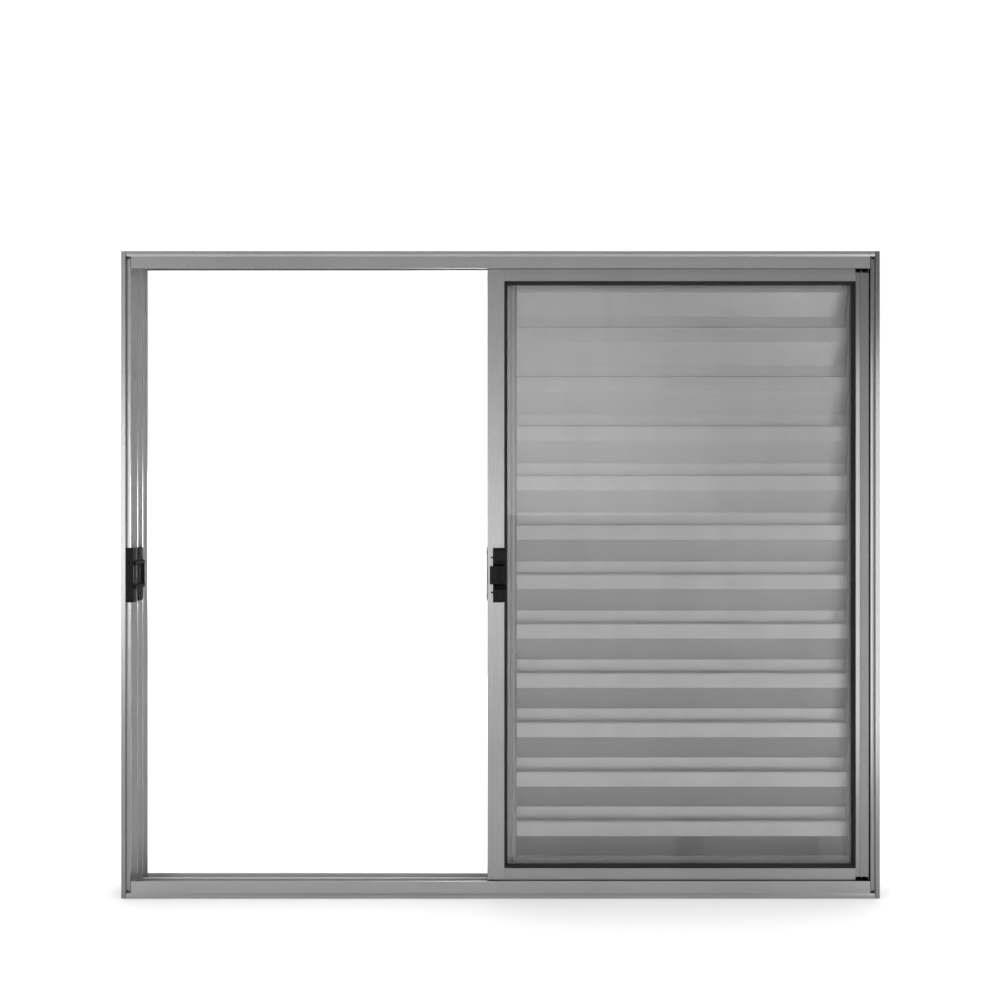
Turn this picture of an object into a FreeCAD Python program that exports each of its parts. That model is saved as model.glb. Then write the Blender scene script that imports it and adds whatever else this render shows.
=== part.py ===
import FreeCAD, Part
import os
from FreeCAD import Vector

# Horizontal sliding window in extruded aluminium: a frame with three tracks, a
# glazed leaf on the room side, a sliding louvre leaf behind it and a fixed
# louvre leaf outside. X runs along the sill, -Y is the room side, Z is up, and
# the origin is the middle of the sill's underside. Millimetres.

# Frame
FRAME_W = 1200.0
FRAME_H = 1024.0
TRACK_COUNT = 3
TRACK_PITCH = 25.5
FRAME_WALL = 1.5
FRAME_D = TRACK_COUNT * TRACK_PITCH + FRAME_WALL
JAMB_REACH = 18.0
JAMB_LIP_REACH = 14.5
FRONT_LIP = 27.0
REAR_LEG = 15.0
FIN_H = 12.0
FIN_T = 2.0
FIN_BEAD_R = 1.6
RIM_W = 7.0
RIM_STEP = 1.5
RIM_LEAN = 0.7
SILL_RIM_H = 4.8
SILL_SLOPE_H = 3.4
CORNER_GAP = 0.5
GROOVE_W = 1.3
GROOVE_DEEP = 1.3
BEAD_W = 3.4
BEAD_LEAN = 0.4
NOTCH_H = 5.6
NOTCH_RUN = 3.0
RIB_NOSE_T = 2.3
RIB_NOSE_H = 2.5
WEEP_COUNT = 3
WEEP_L = 24.0
WEEP_H = 4.0
WEEP_Z = 2.5

# Leaves
LEAF_T = 20.5
LEAF_WALL = 1.3
LEAF_PAST_CENTRE = 20.5
LEAF_INTO_JAMB = 8.0
STILE_OVER_FIN = 2.0
RAIL_SKIRT = 6.0
RAIL_SET = 0.4
END_REBATE = 2.0
OPEN_END_CUT = 9.0
ENTRY_LEN = 6.5
ENTRY_STEP = 3.0
GLASS_MEETING_W = 26.5
GLASS_JAMB_FACE = 20.5
GLASS_BEAD_W = 7.0
GLASS_BEAD_LEAN = 0.7
GLASS_TOP_SIGHT = 46.5
GLASS_BOTTOM_SIGHT = 46.5
POCKET_H = 10.5
POCKET_LIP = 4.0
GLASS_T = 4.0
GLASS_BITE = 6.5
GASKET_BITE = 4.0
GASKET_TOP_W = 2.2
GASKET_FOOT_W = 4.8
GASKET_RISE = 1.6
SEAL_W = 5.0
SEAL_GAP = 0.3
SEAL_INSET = 6.0

# Louvre leaves
LOUVRE_MEETING_W = 46.5
LOUVRE_JAMB_W = 31.0
LOUVRE_TOP_SIGHT = 49.0
LOUVRE_BOTTOM_SIGHT = 57.0
STILE_REBATE_W = 7.5
STILE_REBATE = 2.0
STILE_LIP_R = 1.2
STILE_RIDGE_OUT = 0.5
BLADE_COUNT = 12
BLADE_FIRST_TOP = 35.7
BLADE_LAST_TOP = 114.35
BLADE_T = 1.0
BLADE_D = 16.0
BLADE_NEAR_H = 24.0
BLADE_SLANT_H = 36.0
BLADE_LAP = 9.0
BLADE_BEND_R = 1.2
BLADE_ROLL_R = 1.4
BLADE_ROLL_OUT = 0.5
BLADE_END_GAP = 0.9

# Rollers
WHEEL_R = 10.0
WHEEL_GROOVE_R = 8.4
WHEEL_W = 7.0
WHEEL_GROOVE_W = 3.6
AXLE_R = 2.0
CARRIAGE_LEN = 44.0
CARRIAGE_W = 13.4
CARRIAGE_CHEEK = 3.0
CARRIAGE_INSET = 55.0
WHEEL_PLAY = 1.0

# Latch and keepers
LATCH_Z = 511.5
LATCH_W = 20.4
LATCH_H = 86.0
LATCH_T = 7.0
LATCH_END_T = 5.5
LATCH_SEAT_T = 3.5
LATCH_SLOPE_H = 9.0
LATCH_CORNER = 3.2
LATCH_RIM_W = 2.4
LATCH_RIM_STEP = 0.8
LATCH_LEFT = -11.9
LATCH_PIN_R = 1.3
LATCH_PIN_L = 3.4
LATCH_PIN_Z = 27.6
LATCH_SCREW_OFF = -1.0
SCREW_Z = 34.8
SCREW_HEAD_R = 2.6
SCREW_SINK = 1.4
SLIDER_W = 23.2
SLIDER_H = 28.6
SLIDER_T = 4.8
SLIDER_LEFT = -16.8
SLIDER_PLAY = 0.3
SLIDER_EDGE_R = 1.0
SCOOP_R = 8.0
SCOOP_DEEP = 2.4
SCOOP_IN = 5.5
SCOOP_END = 2.0
SLOT_PLATE_W = 13.0
SLOT_PLATE_T = 1.5
HOOK_L = 12.0
HOOK_W = 5.0
HOOK_OUT = 2.4
KEEPER_H = 86.5
KEEPER_FLANGE_T = 1.5
KEEPER_PLATE_T = 1.2
KEEPER_BLOCK_H = 7.5
KEEPER_WINDOW_H = 30.0
KEEPER_PROUD = 4.0
KEEPER_COVER_D = 14.0
KEEPER_SLOT_D = 9.0
KEEPER_CORNER_R = 4.0
KEEPER_COVER2_D = 22.0
KEEPER_BAR = 7.0
KEEPER_LINK = 2.4
KEEPER_LINK_PAST = 1.0
KEEPER_SCREW_EDGE = 1.0

FRONT_Y = -FRAME_D / 2.0
HALF_W = FRAME_W / 2.0
SIGHT_X = HALF_W - JAMB_REACH
LIP_X = HALF_W - JAMB_LIP_REACH


def block(x0, x1, d0, d1, z0, z1):
    """Box between two X, two depths behind the front plane and two Z."""
    corner = Vector(x0, FRONT_Y + d0, z0)
    return Part.makeBox(x1 - x0, d1 - d0, z1 - z0, corner)


def fused(shapes):
    whole = shapes[0]
    if len(shapes) > 1:
        whole = shapes[0].multiFuse(shapes[1:])
    return whole.removeSplitter()


def prism_x(points, x0, x1):
    """Prism along X from corners given as (depth, z)."""
    corners = [Vector(x0, FRONT_Y + depth, z) for depth, z in points]
    wire = Part.makePolygon(corners + corners[:1])
    return Part.Face(wire).extrude(Vector(x1 - x0, 0, 0))


def prism_y(points, d0, d1):
    """Prism along Y from corners given as (x, z)."""
    corners = [Vector(x, FRONT_Y + d0, z) for x, z in points]
    wire = Part.makePolygon(corners + corners[:1])
    return Part.Face(wire).extrude(Vector(0, d1 - d0, 0))


def prism_z(points, z0, z1):
    """Prism along Z from corners given as (x, depth)."""
    corners = [Vector(x, FRONT_Y + depth, z0) for x, depth in points]
    wire = Part.makePolygon(corners + corners[:1])
    return Part.Face(wire).extrude(Vector(0, 0, z1 - z0))


def edges_along(shape, axis):
    """Straight edges of a shape that run along an axis."""
    found = []
    for edge in shape.Edges:
        if len(edge.Vertexes) == 2:
            run = edge.Vertexes[1].Point - edge.Vertexes[0].Point
            if run.cross(axis).Length < 1e-6:
                found.append(edge)
    return found


def rod_x(depth, z, radius, x0, x1):
    centre = Vector(x0, FRONT_Y + depth, z)
    return Part.makeCylinder(radius, x1 - x0, centre, Vector(1, 0, 0))


def rod_y(x, z, radius, d0, d1):
    centre = Vector(x, FRONT_Y + d0, z)
    return Part.makeCylinder(radius, d1 - d0, centre, Vector(0, 1, 0))


def rod_z(x, depth, radius, z0, z1):
    centre = Vector(x, FRONT_Y + depth, z0)
    return Part.makeCylinder(radius, z1 - z0, centre, Vector(0, 0, 1))


def mirror_x(shape):
    return shape.mirror(Vector(0, 0, 0), Vector(1, 0, 0))


def mirror_z(shape):
    return shape.mirror(Vector(0, 0, FRAME_H / 2.0), Vector(0, 0, 1))


def compound(shapes):
    solids = []
    for shape in shapes:
        solids.extend(shape.Solids)
    return Part.makeCompound(solids)


# Depths of the tracks behind the front plane

LIP_BACK = RIM_STEP + FRAME_WALL
RIB_DEPTHS = [TRACK_PITCH * i for i in range(1, TRACK_COUNT + 1)]
TRACK_CENTRES = [(LIP_BACK + RIB_DEPTHS[0]) / 2.0]
for lower in RIB_DEPTHS[:-1]:
    TRACK_CENTRES.append((lower + FRAME_WALL + lower + TRACK_PITCH) / 2.0)


# Sill and head: one profile, mirrored

def sill_profile():
    web_x = HALF_W - FRAME_WALL
    fin_x = HALF_W - RIM_W - FRAME_WALL
    rim_x = HALF_W - RIM_W - CORNER_GAP
    face_x = LIP_X - CORNER_GAP
    slope_top = SILL_RIM_H + SILL_SLOPE_H
    slope = [
        (0.0, SILL_RIM_H - FRAME_WALL),
        (0.0, SILL_RIM_H),
        (RIM_STEP, slope_top),
        (LIP_BACK, slope_top),
        (LIP_BACK, slope_top - FRAME_WALL),
        (FRAME_WALL, SILL_RIM_H - FRAME_WALL),
    ]
    pieces = [
        block(-web_x, web_x, LIP_BACK, FRAME_D, 0, FRAME_WALL),
        block(-rim_x, rim_x, 0, LIP_BACK, 0, FRAME_WALL),
        block(-rim_x, rim_x, 0, FRAME_WALL, 0, SILL_RIM_H),
        prism_x(slope, -rim_x, rim_x),
        block(-face_x, face_x, RIM_STEP, LIP_BACK, slope_top - FRAME_WALL, FRONT_LIP),
        block(-SIGHT_X, SIGHT_X, FRAME_D - FRAME_WALL, FRAME_D, 0, REAR_LEG),
    ]
    for centre in TRACK_CENTRES:
        d0 = centre - FIN_T / 2.0
        bead_z = FIN_H - FIN_BEAD_R
        pieces.append(block(-fin_x, fin_x, d0, d0 + FIN_T, 0, bead_z))
        pieces.append(rod_x(centre, bead_z, FIN_BEAD_R, -fin_x, fin_x))
    return fused(pieces)


def weep_slots():
    """Round-ended drain slots through the sill's rear leg."""
    slots = []
    d0 = FRAME_D - 2 * FRAME_WALL
    d1 = FRAME_D + FRAME_WALL
    radius = WEEP_H / 2.0
    z_mid = WEEP_Z + radius
    reach = WEEP_L / 2.0 - radius
    for i in range(WEEP_COUNT):
        x = -SIGHT_X + 2.0 * SIGHT_X * (i + 0.5) / WEEP_COUNT
        slots.append(block(x - reach, x + reach, d0, d1, WEEP_Z, WEEP_Z + WEEP_H))
        slots.append(rod_y(x - reach, z_mid, radius, d0, d1))
        slots.append(rod_y(x + reach, z_mid, radius, d0, d1))
    return slots


def left_jamb():
    outer = -HALF_W
    low = FRAME_WALL
    high = FRAME_H - FRAME_WALL
    band_low = SILL_RIM_H + SILL_SLOPE_H + CORNER_GAP
    band_high = FRAME_H - band_low
    rim_in = outer + RIM_W
    web_in = rim_in + FRAME_WALL
    groove_in = rim_in + GROOVE_W
    groove_side = groove_in + FRAME_WALL
    groove_back = LIP_BACK + GROOVE_DEEP
    rim = [
        (outer, RIM_LEAN),
        (rim_in, 0.0),
        (rim_in, FRAME_WALL),
        (outer, RIM_LEAN + FRAME_WALL),
    ]
    lip = [
        (groove_in, RIM_STEP),
        (-LIP_X - BEAD_W, RIM_STEP),
        (-LIP_X, RIM_STEP - BEAD_LEAN),
        (-LIP_X, LIP_BACK),
        (groove_in, LIP_BACK),
    ]
    rim_mid = FRAME_WALL / 2.0
    wall_front = RIM_LEAN + rim_mid
    joint_back = groove_back + FRAME_WALL
    pieces = [
        block(outer, outer + FRAME_WALL, wall_front, FRAME_D, 0, FRAME_H),
        prism_z(rim, 0, FRAME_H),
        block(rim_in, web_in, groove_back, FRAME_D, low, high),
        block(rim_in - FRAME_WALL, rim_in, rim_mid, joint_back, band_low, band_high),
        block(rim_in - FRAME_WALL, groove_side, LIP_BACK, groove_back, band_low, band_high),
        block(groove_in, groove_side, RIM_STEP, groove_back, band_low, band_high),
        prism_z(lip, band_low, band_high),
    ]
    for depth in RIB_DEPTHS:
        nose_mid = depth + FRAME_WALL / 2.0
        nose0 = min(nose_mid - RIB_NOSE_T / 2.0, FRAME_D - RIB_NOSE_T)
        nose1 = nose0 + RIB_NOSE_T
        nose_x = -SIGHT_X - RIB_NOSE_H
        nose_high = FRAME_H - REAR_LEG
        pieces.append(block(outer, -SIGHT_X, depth, depth + FRAME_WALL, low, high))
        pieces.append(block(nose_x, -SIGHT_X, nose0, nose1, REAR_LEG, nose_high))
    notch = [
        (rim_in, band_low),
        (-LIP_X, band_low),
        (-LIP_X, band_low + NOTCH_H - NOTCH_RUN),
        (rim_in, band_low + NOTCH_H),
    ]
    notch_low = prism_y(notch, 0, groove_back)
    return fused(pieces).cut(notch_low).cut(mirror_z(notch_low))


rail_profile = sill_profile()
head = mirror_z(rail_profile)
sill = rail_profile.cut(Part.makeCompound(weep_slots()))
jamb_left = left_jamb()
jamb_right = mirror_x(jamb_left)


# Leaves: outlines shared by the three

LEAF_X0 = -LEAF_PAST_CENTRE
LEAF_X1 = SIGHT_X + LEAF_INTO_JAMB
STILE_Z0 = FIN_H + STILE_OVER_FIN
STILE_Z1 = FRAME_H - STILE_Z0
RAIL_Z0 = RAIL_SKIRT
RAIL_Z1 = FRAME_H - RAIL_SKIRT


def leaf_front(track):
    return TRACK_CENTRES[track] - LEAF_T / 2.0


def entry_tongue(x0, x1, front, z0, z1):
    """Narrow hollow tongue of a stile that enters the jamb's channel."""
    f0 = front + ENTRY_STEP
    b0 = front + LEAF_T - ENTRY_STEP
    return [
        block(x0, x1, f0, f0 + LEAF_WALL, z0, z1),
        block(x0, x1, b0 - LEAF_WALL, b0, z0, z1),
        block(x1 - LEAF_WALL, x1, f0, b0, z0, z1),
    ]


def stile_tube(x0, x1, front, z0, z1):
    """Hollow rectangular tube of a stile."""
    back = front + LEAF_T
    outer = block(x0, x1, front, back, z0, z1)
    inner = block(x0 + LEAF_WALL, x1 - LEAF_WALL, front + LEAF_WALL, back - LEAF_WALL, z0, z1)
    return outer.cut(inner)


def pocket_z(x_open, side, front, z0, z1):
    """Glazing pocket on a stile; it opens towards side +1 or -1 at x_open."""
    back = front + LEAF_T
    x_in = x_open - side * POCKET_H
    lo = min(x_open, x_in)
    hi = max(x_open, x_in)
    lip_in = x_open - side * LEAF_WALL
    lip_lo = min(x_open, lip_in)
    lip_hi = max(x_open, lip_in)
    return [
        block(lo, hi, front, front + LEAF_WALL, z0, z1),
        block(lo, hi, back - LEAF_WALL, back, z0, z1),
        block(lip_lo, lip_hi, front, front + POCKET_LIP, z0, z1),
        block(lip_lo, lip_hi, back - POCKET_LIP, back, z0, z1),
    ]


def rail_channel(x0, x1, front, z_sight, z_web, z_skirt):
    """Two walls and a web; rebated skirts straddle the fin of the track."""
    f0 = front + RAIL_SET
    b0 = front + LEAF_T - RAIL_SET
    f1 = front + END_REBATE
    b1 = front + LEAF_T - END_REBATE
    side = 1 if z_sight > z_web else -1
    z_step = z_web - side * LEAF_WALL
    walls = [
        (f0, f0 + LEAF_WALL, z_sight, z_step),
        (b0 - LEAF_WALL, b0, z_sight, z_step),
        (f0, b0, z_web, z_web + side * LEAF_WALL),
        (f0, f1 + LEAF_WALL, z_step, z_web),
        (b1 - LEAF_WALL, b0, z_step, z_web),
        (f1, f1 + LEAF_WALL, z_web, z_skirt),
        (b1 - LEAF_WALL, b1, z_web, z_skirt),
    ]
    return [block(x0, x1, d0, d1, min(za, zb), max(za, zb)) for d0, d1, za, zb in walls]


def end_rebate(stile, x0, x1, front, closed):
    """Rebate across both ends of a stile, where the frame's lip passes it."""
    z_step = GLASS_BOTTOM_SIGHT - POCKET_H - 2 * LEAF_WALL
    depth = END_REBATE if closed else OPEN_END_CUT
    low = block(x0, x1, front, front + depth, STILE_Z0, z_step)
    stile = stile.cut(low).cut(mirror_z(low))
    if closed:
        f1 = front + END_REBATE
        plate = block(x0, x1, f1, f1 + LEAF_WALL, STILE_Z0, z_step + LEAF_WALL)
        step = block(x0, x1, front, f1 + LEAF_WALL, z_step, z_step + LEAF_WALL)
        stile = fused([stile, plate, step, mirror_z(plate), mirror_z(step)])
    return stile


def glass_rail_bottom(x0, x1, front):
    f0 = front + RAIL_SET
    b0 = front + LEAF_T - RAIL_SET
    top = GLASS_BOTTOM_SIGHT
    web = top - POCKET_H - LEAF_WALL
    pieces = rail_channel(x0, x1, front, top, web, RAIL_Z0)
    pieces.append(block(x0, x1, f0, front + POCKET_LIP, top - LEAF_WALL, top))
    pieces.append(block(x0, x1, front + LEAF_T - POCKET_LIP, b0, top - LEAF_WALL, top))
    return fused(pieces)


# Glass leaf

GLASS_FRONT = leaf_front(0)
GLASS_X0 = LEAF_X0 + GLASS_MEETING_W
GLASS_X1 = LEAF_X1 - ENTRY_LEN - GLASS_JAMB_FACE
GLASS_Z0 = GLASS_BOTTOM_SIGHT
GLASS_Z1 = FRAME_H - GLASS_TOP_SIGHT

glass_stile_left = fused(
    [stile_tube(LEAF_X0, GLASS_X0 - POCKET_H, GLASS_FRONT, STILE_Z0, STILE_Z1)]
    + pocket_z(GLASS_X0, 1, GLASS_FRONT, STILE_Z0, STILE_Z1)
)
face_end = GLASS_X1 + GLASS_JAMB_FACE
glass_stile_right = fused(
    [stile_tube(GLASS_X1 + POCKET_H, face_end, GLASS_FRONT, STILE_Z0, STILE_Z1)]
    + pocket_z(GLASS_X1, -1, GLASS_FRONT, STILE_Z0, STILE_Z1)
    + entry_tongue(face_end, LEAF_X1, GLASS_FRONT, STILE_Z0, STILE_Z1)
)
bead_end = GLASS_X1 + GLASS_BEAD_W
bead_wedge = [
    (GLASS_X1, GLASS_FRONT),
    (bead_end, GLASS_FRONT),
    (bead_end, GLASS_FRONT + GLASS_BEAD_LEAN),
]
glass_stile_right = glass_stile_right.cut(prism_z(bead_wedge, STILE_Z0, STILE_Z1))
glass_stile_left = end_rebate(glass_stile_left, LEAF_X0, GLASS_X0, GLASS_FRONT, True)
glass_stile_right = end_rebate(glass_stile_right, GLASS_X1, face_end, GLASS_FRONT, False)
glass_rail_low = glass_rail_bottom(GLASS_X0, GLASS_X1, GLASS_FRONT)
glass_rail_high = mirror_z(glass_rail_low)

pane_front = GLASS_FRONT + (LEAF_T - GLASS_T) / 2.0
pane_back = pane_front + GLASS_T
pane = block(
    GLASS_X0 - GLASS_BITE,
    GLASS_X1 + GLASS_BITE,
    pane_front,
    pane_back,
    GLASS_Z0 - GLASS_BITE,
    GLASS_Z1 + GLASS_BITE,
)


def sight_rect(offset, depth):
    """Rectangle inside the glass opening, offset inwards, at a depth."""
    y = FRONT_Y + depth
    x0 = GLASS_X0 + offset
    x1 = GLASS_X1 - offset
    z0 = GLASS_Z0 + offset
    z1 = GLASS_Z1 - offset
    corners = [Vector(x0, y, z0), Vector(x1, y, z0), Vector(x1, y, z1), Vector(x0, y, z1)]
    return Part.makePolygon(corners + corners[:1])


def gasket_ring(d_out, d_lip, d_glass):
    """Wedge gasket ring between the pocket lips and one face of the glass."""
    lo = min(d_lip, d_glass)
    hi = max(d_lip, d_glass)
    seat = block(
        GLASS_X0 - GASKET_BITE,
        GLASS_X1 + GASKET_BITE,
        lo,
        hi,
        GLASS_Z0 - GASKET_BITE,
        GLASS_Z1 + GASKET_BITE,
    )
    lo = min(d_out, d_glass)
    hi = max(d_out, d_glass)
    wedge = block(GLASS_X0, GLASS_X1, lo, hi, GLASS_Z0, GLASS_Z1)
    rects = [sight_rect(GASKET_TOP_W, d_out), sight_rect(GASKET_FOOT_W, d_glass)]
    light = Part.makeLoft(rects, True)
    return seat.fuse(wedge).cut(light).removeSplitter()


gasket = compound([
    gasket_ring(GLASS_FRONT + GASKET_RISE, GLASS_FRONT + POCKET_LIP, pane_front),
    gasket_ring(
        GLASS_FRONT + LEAF_T - GASKET_RISE,
        GLASS_FRONT + LEAF_T - POCKET_LIP,
        pane_back,
    ),
])


# Louvre leaves

def louvre_stile(x_out, x_in, front, z0, z1, tongue):
    """Stile from x_out to x_in; the blade side has a rebate on both faces."""
    side = 1 if x_in > x_out else -1
    back = front + LEAF_T
    face_out = x_out
    if tongue:
        face_out = x_out + side * ENTRY_LEN
    step = x_in - side * STILE_REBATE_W
    step_in = step - side * LEAF_WALL
    edge_in = x_in - side * LEAF_WALL
    f1 = front + STILE_REBATE
    b1 = back - STILE_REBATE
    ridge_x = step - side * STILE_LIP_R
    ridge_in = STILE_LIP_R - STILE_RIDGE_OUT
    pieces = [
        stile_tube(min(face_out, step), max(face_out, step), front, z0, z1),
        block(min(step_in, x_in), max(step_in, x_in), f1, f1 + LEAF_WALL, z0, z1),
        block(min(step_in, x_in), max(step_in, x_in), b1 - LEAF_WALL, b1, z0, z1),
        block(min(x_in, edge_in), max(x_in, edge_in), f1, b1, z0, z1),
        rod_z(x_in - side * STILE_LIP_R, f1, STILE_LIP_R, z0, z1),
        rod_z(x_in - side * STILE_LIP_R, b1, STILE_LIP_R, z0, z1),
        rod_z(ridge_x, front + ridge_in, STILE_LIP_R, z0, z1),
        rod_z(ridge_x, back - ridge_in, STILE_LIP_R, z0, z1),
    ]
    if tongue:
        pieces.extend(entry_tongue(face_out, x_out, front, z0, z1))
    return fused(pieces)


def louvre_rail_bottom(x0, x1, front, skirt):
    sight = LOUVRE_BOTTOM_SIGHT
    web = GLASS_BOTTOM_SIGHT - POCKET_H - LEAF_WALL
    return fused(rail_channel(x0, x1, front, sight, web, skirt))


def louvre_rail_top(x0, x1, front, skirt):
    sight = FRAME_H - LOUVRE_TOP_SIGHT
    web = FRAME_H - BLADE_FIRST_TOP + 2 * LEAF_WALL
    return fused(rail_channel(x0, x1, front, sight, web, skirt))


BLADE_PITCH = (FRAME_H - BLADE_FIRST_TOP - BLADE_LAST_TOP) / (BLADE_COUNT - 1)


def blade(index, x0, x1, front):
    """One louvre blade: rolled top edge, near flat, slope and far flat."""
    near = front + (LEAF_T - BLADE_D) / 2.0
    far = near + BLADE_D
    top = FRAME_H - BLADE_FIRST_TOP - index * BLADE_PITCH
    fold = top - BLADE_NEAR_H
    foot = fold - BLADE_SLANT_H
    low = top - BLADE_PITCH - BLADE_LAP
    low = max(low, GLASS_BOTTOM_SIGHT - POCKET_H)
    t = BLADE_T
    outline = [
        (near, top - BLADE_ROLL_R),
        (near + t, top - BLADE_ROLL_R),
        (near + t, fold + t / 2.0),
        (far, foot + t / 2.0),
        (far, low),
        (far - t, low),
        (far - t, foot - t / 2.0),
        (near, fold - t / 2.0),
    ]
    sheet = prism_x(outline, x0, x1)
    inside = []
    outside = []
    for edge in edges_along(sheet, Vector(1, 0, 0)):
        spot = edge.Vertexes[0].Point
        depth = spot.y - FRONT_Y
        for fold_z, concave in ((fold, near + t), (foot, far - t)):
            if abs(spot.z - fold_z) < t:
                hollow = abs(depth - concave) < t / 2.0
                (inside if hollow else outside).append(edge)
    sheet = sheet.makeFillet(BLADE_BEND_R, inside)
    folds = []
    for edge in edges_along(sheet, Vector(1, 0, 0)):
        spot = edge.Vertexes[0].Point
        for known in outside:
            same = known.Vertexes[0].Point
            if abs(same.y - spot.y) < t / 4.0 and abs(same.z - spot.z) < t / 4.0:
                folds.append(edge)
    sheet = sheet.makeFillet(BLADE_BEND_R + t, folds)
    roll_depth = near + BLADE_ROLL_R - BLADE_ROLL_OUT
    roll = rod_x(roll_depth, top - BLADE_ROLL_R, BLADE_ROLL_R, x0, x1)
    return sheet.fuse(roll).removeSplitter()


LOUVRE_FRONT = leaf_front(1)
FIXED_FRONT = leaf_front(2)
LOUVRE_X0 = LEAF_X0 + LOUVRE_MEETING_W
LOUVRE_X1 = LEAF_X1 - LOUVRE_JAMB_W

louvre_stile_left = louvre_stile(LEAF_X0, LOUVRE_X0, LOUVRE_FRONT, STILE_Z0, STILE_Z1, False)
louvre_stile_right = louvre_stile(LEAF_X1, LOUVRE_X1, LOUVRE_FRONT, STILE_Z0, STILE_Z1, True)
louvre_rail_low = louvre_rail_bottom(LOUVRE_X0, LOUVRE_X1, LOUVRE_FRONT, RAIL_Z0)
louvre_rail_high = louvre_rail_top(LOUVRE_X0, LOUVRE_X1, LOUVRE_FRONT, RAIL_Z1)
blade_x1 = LOUVRE_X1 - BLADE_END_GAP
louvre_blades = [blade(i, LOUVRE_X0, blade_x1, LOUVRE_FRONT) for i in range(BLADE_COUNT)]

FIXED_Z0 = FRAME_WALL
FIXED_Z1 = FRAME_H - FRAME_WALL
fixed_stile_left = louvre_stile(LEAF_X0, LOUVRE_X0, FIXED_FRONT, STILE_Z0, STILE_Z1, False)
fixed_stile_right = louvre_stile(LEAF_X1, LOUVRE_X1, FIXED_FRONT, STILE_Z0, STILE_Z1, True)
fixed_rail_low = louvre_rail_bottom(LOUVRE_X0, LOUVRE_X1, FIXED_FRONT, FIXED_Z0)
fixed_rail_high = louvre_rail_top(LOUVRE_X0, LOUVRE_X1, FIXED_FRONT, FIXED_Z1)
fixed_blades = [blade(i, LOUVRE_X0, blade_x1, FIXED_FRONT) for i in range(BLADE_COUNT)]


# Rollers under the two sliding leaves

WHEEL_Z = FIN_H + WHEEL_GROOVE_R
CARRIAGE_TOP = GLASS_BOTTOM_SIGHT - POCKET_H - LEAF_WALL


def wheel(x, track):
    """Grooved wheel with its axle, turned about Y."""
    centre = TRACK_CENTRES[track]
    half = WHEEL_W / 2.0
    tread = rod_y(x, WHEEL_Z, WHEEL_R, centre - half, centre + half)
    groove_half = WHEEL_GROOVE_W / 2.0
    groove = rod_y(x, WHEEL_Z, WHEEL_R, centre - groove_half, centre + groove_half)
    core = rod_y(x, WHEEL_Z, WHEEL_GROOVE_R, centre - half, centre + half)
    axle_half = CARRIAGE_W / 2.0
    axle = rod_y(x, WHEEL_Z, AXLE_R, centre - axle_half, centre + axle_half)
    return tread.cut(groove).multiFuse([core, axle]).removeSplitter()


def carriage(x, track):
    """Forked housing that holds one wheel under the rail's web."""
    centre = TRACK_CENTRES[track]
    half = CARRIAGE_LEN / 2.0
    d0 = centre - CARRIAGE_W / 2.0
    d1 = centre + CARRIAGE_W / 2.0
    low = WHEEL_Z - 2.5 * AXLE_R
    body = block(x - half, x + half, d0, d1, low, CARRIAGE_TOP)
    slot_top = WHEEL_Z + WHEEL_R + WHEEL_PLAY
    slot0 = d0 + CARRIAGE_CHEEK
    slot1 = d1 - CARRIAGE_CHEEK
    slot = block(x - half, x + half, slot0, slot1, low, slot_top)
    bore = rod_y(x, WHEEL_Z, AXLE_R, d0, d1)
    return body.cut(slot).cut(bore)


glass_wheel_x = [GLASS_X0 + CARRIAGE_INSET, GLASS_X1 - CARRIAGE_INSET]
louvre_wheel_x = [LOUVRE_X0 + CARRIAGE_INSET, LOUVRE_X1 - CARRIAGE_INSET]
glass_wheels = compound([wheel(x, 0) for x in glass_wheel_x])
glass_carriages = compound([carriage(x, 0) for x in glass_wheel_x])
louvre_wheels = compound([wheel(x, 1) for x in louvre_wheel_x])
louvre_carriages = compound([carriage(x, 1) for x in louvre_wheel_x])


# Latch on the meeting stile of the glass leaf

case_x1 = LATCH_LEFT + LATCH_W
case_z0 = LATCH_Z - LATCH_H / 2.0
case_z1 = LATCH_Z + LATCH_H / 2.0
slider_z0 = LATCH_Z - SLIDER_H / 2.0
slider_z1 = LATCH_Z + SLIDER_H / 2.0


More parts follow.
